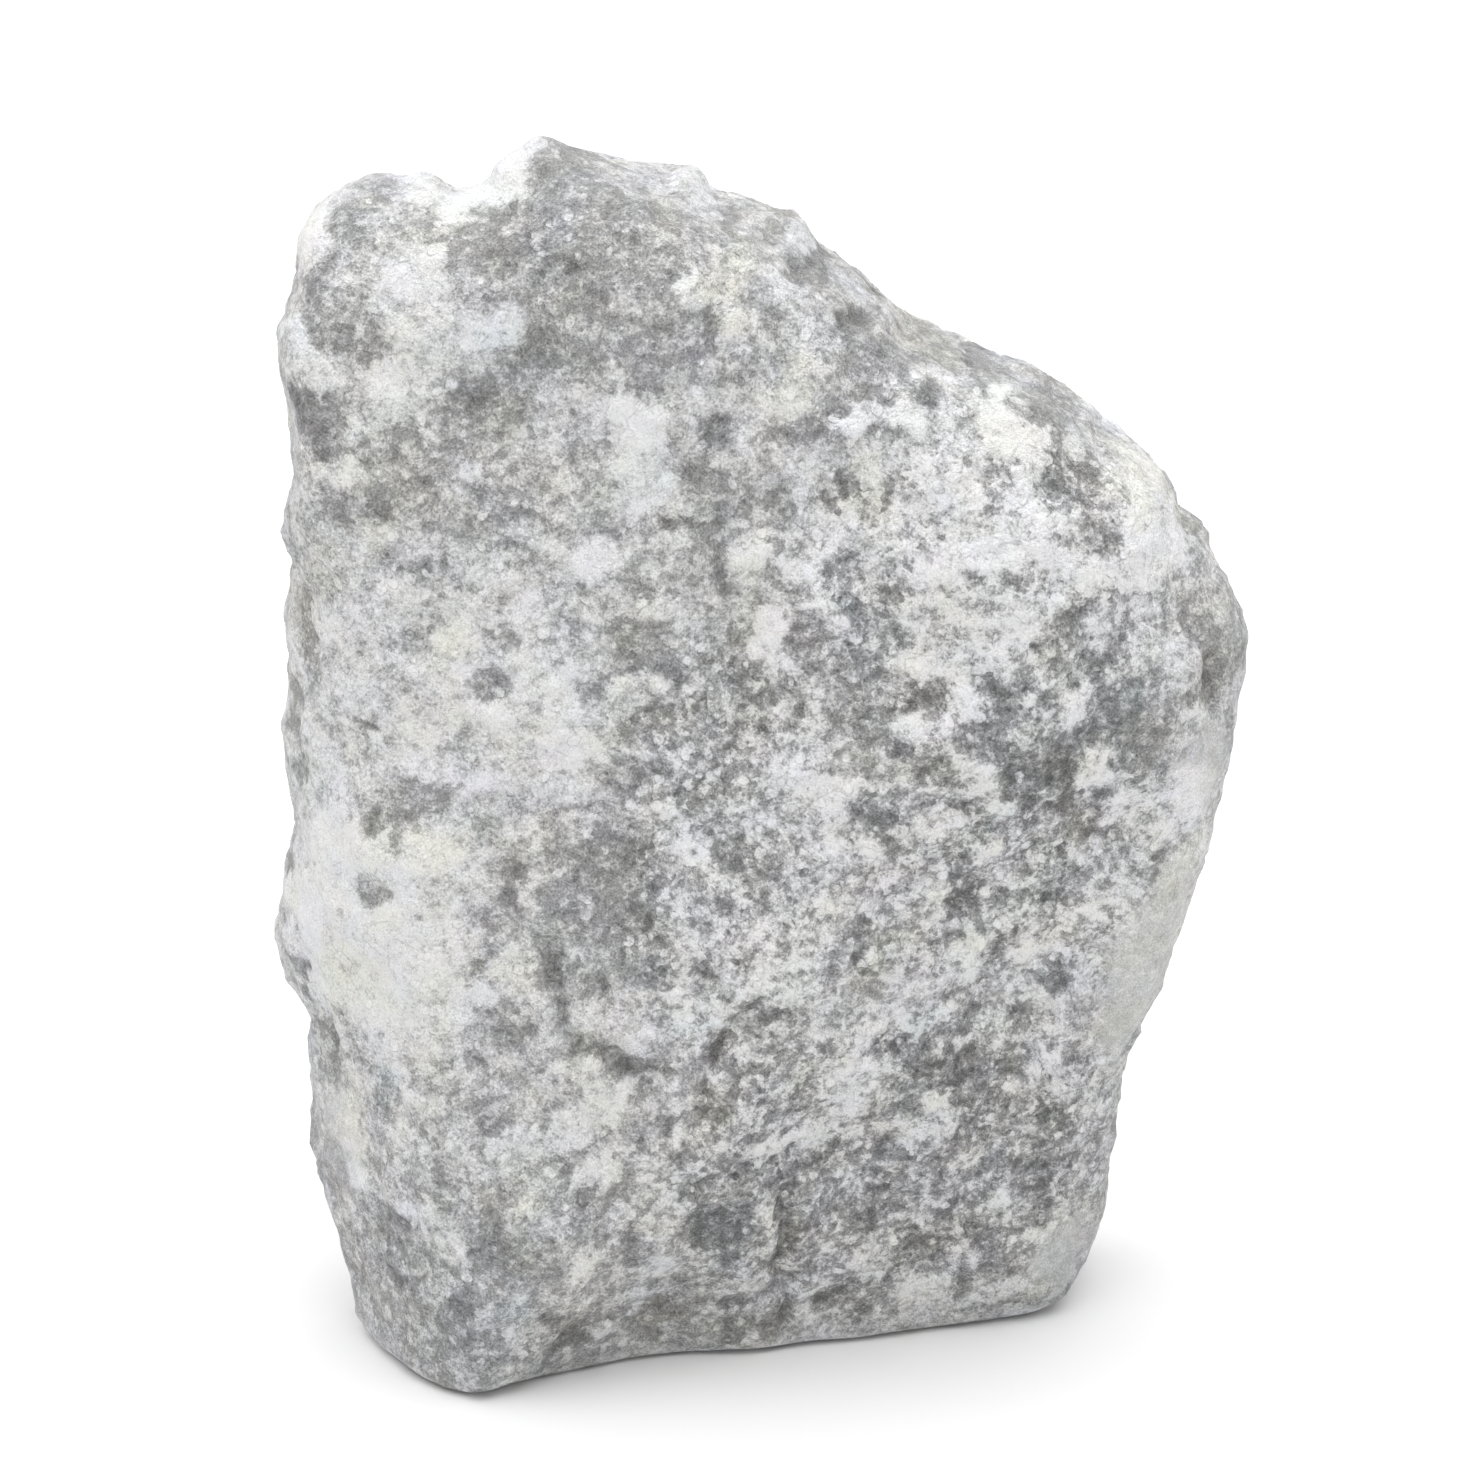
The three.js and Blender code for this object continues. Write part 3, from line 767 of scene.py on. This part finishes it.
class Nodes:
    """A short way to write a material's nodes."""

    def __init__(self, tree):
        self.tree = tree

    def add(self, kind, **settings):
        node = self.tree.nodes.new(kind)
        for name, value in settings.items():
            setattr(node, name, value)
        return node

    def feed(self, socket, value):
        if isinstance(value, bpy.types.NodeSocket):
            self.tree.links.new(value, socket)
        else:
            socket.default_value = value

    def math(self, operation, first, second=0.0, clamp=False):
        node = self.add("ShaderNodeMath", operation=operation, use_clamp=clamp)
        self.feed(node.inputs[0], first)
        self.feed(node.inputs[1], second)
        return node.outputs[0]

    def noise(self, place, scale, detail=2.0, roughness=0.5):
        node = self.add("ShaderNodeTexNoise")
        self.feed(node.inputs["Vector"], place)
        node.inputs["Scale"].default_value = scale
        node.inputs["Detail"].default_value = detail
        node.inputs["Roughness"].default_value = roughness
        return node

    def warp(self, place, scale, reach, detail):
        """Places moved up to half of reach by a noise, so that edges come out ragged."""
        moved = self.add("ShaderNodeVectorMath", operation="MULTIPLY_ADD")
        self.feed(moved.inputs[0], self.noise(place, scale, detail, 0.6).outputs["Color"])
        moved.inputs[1].default_value = (reach, reach, reach)
        self.feed(moved.inputs[2], place)
        return moved.outputs[0]

    def crystals(self, place, scale):
        """The distance from the middle of each crystal, and two even random values for it."""
        node = self.add("ShaderNodeTexVoronoi")
        self.feed(node.inputs["Vector"], place)
        node.inputs["Scale"].default_value = scale
        parts = self.add("ShaderNodeSeparateColor")
        self.feed(parts.inputs[0], node.outputs["Color"])
        return node.outputs["Distance"], parts.outputs[0], parts.outputs[1]

    def sharpen(self, noise_value, gain):
        """A noise value pushed towards 0 and 1, so that its patches get crisp edges."""
        return self.math("ADD", self.around(noise_value, gain), 0.5, clamp=True)

    def above(self, value, limit, gain):
        """How far a value is above this limit, times the gain, from 0 to 1."""
        return self.math("MULTIPLY", self.math("SUBTRACT", value, limit), gain, clamp=True)

    def cracks(self, place, scale, width):
        """1 along the seams between cells, 0 away from them."""
        node = self.add("ShaderNodeTexVoronoi", feature="DISTANCE_TO_EDGE")
        self.feed(node.inputs["Vector"], place)
        node.inputs["Scale"].default_value = scale
        near = self.math("DIVIDE", node.outputs["Distance"], width, clamp=True)
        return self.math("SUBTRACT", 1.0, near)

    def scale_add(self, value, factor, offset):
        node = self.add("ShaderNodeMath", operation="MULTIPLY_ADD")
        self.feed(node.inputs[0], value)
        node.inputs[1].default_value = factor
        node.inputs[2].default_value = offset
        return node.outputs[0]

    def value(self, name):
        return self.add("ShaderNodeAttribute", attribute_name=name).outputs["Fac"]

    def around(self, noise_value, amount):
        """A noise value, centred on zero and made this strong."""
        return self.math("MULTIPLY", self.math("SUBTRACT", noise_value, 0.5), amount)

    def total(self, *values):
        result = values[0]
        for value in values[1:]:
            result = self.math("ADD", result, value)
        return result

    def mix(self, share, first, second, blend="MIX"):
        node = self.add("ShaderNodeMix", data_type="RGBA", blend_type=blend)
        self.feed(node.inputs["Factor"], share)
        self.feed(node.inputs["A"], first)
        self.feed(node.inputs["B"], second)
        return node.outputs["Result"]

    def ramp(self, value, greys):
        """A grey for each value, from pairs of a value and its grey."""
        node = self.add("ShaderNodeValToRGB")
        self.feed(node.inputs["Fac"], value)
        while len(node.color_ramp.elements) < len(greys):
            node.color_ramp.elements.new(0.5)
        for element, (position, grey) in zip(node.color_ramp.elements, greys):
            element.position = position
            element.color = (grey, grey, grey, 1.0)
        return node.outputs["Color"]


def soapstone_material():
    """Broken soapstone: white and blue-grey minerals in clots, with a sugary grain."""
    material = bpy.data.materials.new("soapstone")
    material.use_nodes = True
    n = Nodes(material.node_tree)
    shader = material.node_tree.nodes["Principled BSDF"]

    place = n.add("ShaderNodeMapping")
    n.feed(place.inputs["Vector"], n.add("ShaderNodeTexCoord").outputs["Object"])
    place.inputs["Scale"].default_value = (1.0 / MM, 1.0 / MM, 1.0 / MM)
    place = place.outputs["Vector"]

    # Places in millimetres, moved a little for ragged edges
    ragged_place = n.warp(place, 0.4, 1.6, 1.5)
    torn_place = n.warp(place, 0.6, 0.25, 1.0)

    # Minerals, from large clots to single grains
    tone = n.value("tone")
    rubbed = n.value("rubbed")
    flecked = n.value("flecked")
    clots = n.noise(ragged_place, CLOT_SCALE, detail=5.0, roughness=0.65).outputs["Fac"]
    flecks = n.noise(torn_place, FLECK_SCALE, detail=4.0, roughness=0.7).outputs["Fac"]
    to_middle, kind, size = n.crystals(ragged_place, CRUMB_SCALE)
    radius = n.scale_add(size, 0.38, 0.16)
    round_crumb = n.above(radius, to_middle, 9.0)
    white_crumbs = n.above(kind, 0.58, 12.0)
    dark_crumbs = n.scale_add(n.above(0.25, kind, 12.0), 0.7, 0.0)
    crumbs = n.math("MULTIPLY", n.math("SUBTRACT", white_crumbs, dark_crumbs), round_crumb)
    small_cells = n.crystals(torn_place, CELL_SCALE)[1]
    specks = n.crystals(place, SPECK_SCALE)[1]
    grain = n.noise(place, GRAIN_SCALE, detail=1.0, roughness=0.5).outputs["Fac"]

    # The grey of the stone, calmer where it is rubbed
    busy = n.scale_add(flecked, 0.52, 0.66)
    pattern = n.total(
        n.around(n.sharpen(clots, 2.6), CLOT_STRENGTH),
        n.math("MULTIPLY", n.around(n.sharpen(flecks, 4.0), FLECK_STRENGTH), busy),
        n.math("MULTIPLY", n.math("MULTIPLY", crumbs, CRUMB_STRENGTH), busy),
        n.math("MULTIPLY", n.around(small_cells, CELL_STRENGTH), busy),
        n.around(specks, SPECK_STRENGTH),
    )
    calm = n.scale_add(rubbed, -0.7, 1.0)
    marked = n.math("MULTIPLY", tone, TONE_STRENGTH)
    level = n.total(BASE_LEVEL, marked, n.math("MULTIPLY", pattern, calm))
    stone = n.ramp(level, STONE_GREYS)

    # Warm and blue tints
    tint = n.value("tint")
    warm = n.math("MULTIPLY", tint, 0.8, clamp=True)
    cool = n.math("MULTIPLY", tint, -0.8, clamp=True)
    stone = n.mix(warm, stone, WARM_TINT, "MULTIPLY")
    stone = n.mix(cool, stone, COOL_TINT, "MULTIPLY")
    minerals = n.add("ShaderNodeVectorMath", operation="MULTIPLY_ADD")
    n.feed(minerals.inputs[0], n.noise(place, 0.12, detail=4.0, roughness=0.6).outputs["Color"])
    minerals.inputs[1].default_value = MINERAL_TINT_RANGE
    minerals.inputs[2].default_value = MINERAL_TINT_LEAST
    stone = n.mix(1.0, stone, minerals.outputs[0], "MULTIPLY")

    # Hairline veins, broken off here and there
    veins = n.cracks(ragged_place, VEIN_SCALE, 0.035)
    broken = n.above(n.noise(place, 0.22, detail=2.0).outputs["Fac"], 0.47, 9.0)
    lines = n.math("MULTIPLY", veins, broken)
    lines = n.math("MULTIPLY", lines, calm)
    stone = n.mix(n.math("MULTIPLY", lines, 0.3), stone, VEIN_COLOUR)

    # Sugary grain, strongest in the dark stone
    salt = n.math("SUBTRACT", 1.0, n.math("MULTIPLY", level, 1.1), clamp=True)
    salt = n.scale_add(salt, 1.1, 0.17)
    salt = n.math("MULTIPLY", n.around(grain, 1.5), salt)
    stone = n.mix(1.0, stone, n.math("ADD", salt, 0.97), "MULTIPLY")
    n.feed(shader.inputs["Base Color"], stone)

    n.feed(shader.inputs["Roughness"], n.scale_add(grain, 0.2, 0.72))
    shader.inputs["Specular IOR Level"].default_value = 0.3

    # Relief finer than the mesh
    bumps = n.total(
        n.math("MULTIPLY", clots, 2.0),
        n.math("MULTIPLY", flecks, 1.4),
        n.math("MULTIPLY", crumbs, 0.3),
        n.math("MULTIPLY", small_cells, 0.15),
        n.math("MULTIPLY", grain, 0.1),
    )
    bump = n.add("ShaderNodeBump")
    n.feed(bump.inputs["Strength"], n.scale_add(rubbed, -0.7, 0.9))
    bump.inputs["Distance"].default_value = 0.7 * MM
    n.feed(bump.inputs["Height"], bumps)
    n.feed(shader.inputs["Normal"], bump.outputs["Normal"])
    return material


def make_stone():
    """The one piece of the scene's object: the stone, broken, marked and standing on its foot."""
    mesh = smooth_copy()
    tone = paint_markings(mesh)
    break_surface(mesh, tone)
    mesh.materials.clear()
    mesh.materials.append(soapstone_material())
    mesh.polygons.foreach_set("use_smooth", [True] * len(mesh.polygons))
    stone = bpy.data.objects.new("soapstone_block", mesh)
    bpy.context.scene.collection.objects.link(stone)
    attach(stone, "root")
    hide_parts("stone")


def make_floor():
    """A wide white floor under the stone."""
    shape = bmesh.new()
    bmesh.ops.create_grid(shape, x_segments=1, y_segments=1, size=4.0)
    mesh = bpy.data.meshes.new("floor")
    shape.to_mesh(mesh)
    shape.free()
    material = bpy.data.materials.new("white_floor")
    material.use_nodes = True
    shader = material.node_tree.nodes["Principled BSDF"]
    shader.inputs["Base Color"].default_value = FLOOR_COLOUR
    shader.inputs["Roughness"].default_value = 0.9
    shader.inputs["Specular IOR Level"].default_value = 0.1
    mesh.materials.append(material)
    floor = bpy.data.objects.new("floor", mesh)
    bpy.context.scene.collection.objects.link(floor)


def point_at(thing, target):
    direction = Vector(target) - thing.location
    thing.rotation_euler = direction.to_track_quat("-Z", "Y").to_euler()


def make_camera():
    data = bpy.data.cameras.new("camera")
    data.lens = CAMERA_LENS
    camera = bpy.data.objects.new("camera", data)
    bpy.context.scene.collection.objects.link(camera)
    lift = math.radians(CAMERA_ELEVATION)
    aim = Vector(CAMERA_AIM) * MM
    back = Vector((0.0, -math.cos(lift), math.sin(lift))) * CAMERA_DISTANCE * MM
    camera.location = aim + back
    point_at(camera, aim)
    bpy.context.scene.camera = camera


def light_studio():
    """White all round, and one broad soft light from above and a little in front."""
    world = bpy.data.worlds.new("white_studio")
    world.use_nodes = True
    sky = world.node_tree.nodes["Background"]
    sky.inputs["Color"].default_value = (1.0, 1.0, 1.0, 1.0)
    sky.inputs["Strength"].default_value = SKY_STRENGTH
    bpy.context.scene.world = world
    data = bpy.data.lights.new("overhead_softbox", "SUN")
    data.energy = SOFTBOX_STRENGTH
    data.angle = math.radians(SOFTBOX_SPREAD)
    light = bpy.data.objects.new("overhead_softbox", data)
    bpy.context.scene.collection.objects.link(light)
    light.location = (-0.05, -0.15, 1.5)
    point_at(light, (0.0, 0.0, 0.1))
    bpy.context.scene.view_settings.view_transform = "Standard"


make_camera()
make_stone()
make_floor()
light_studio()
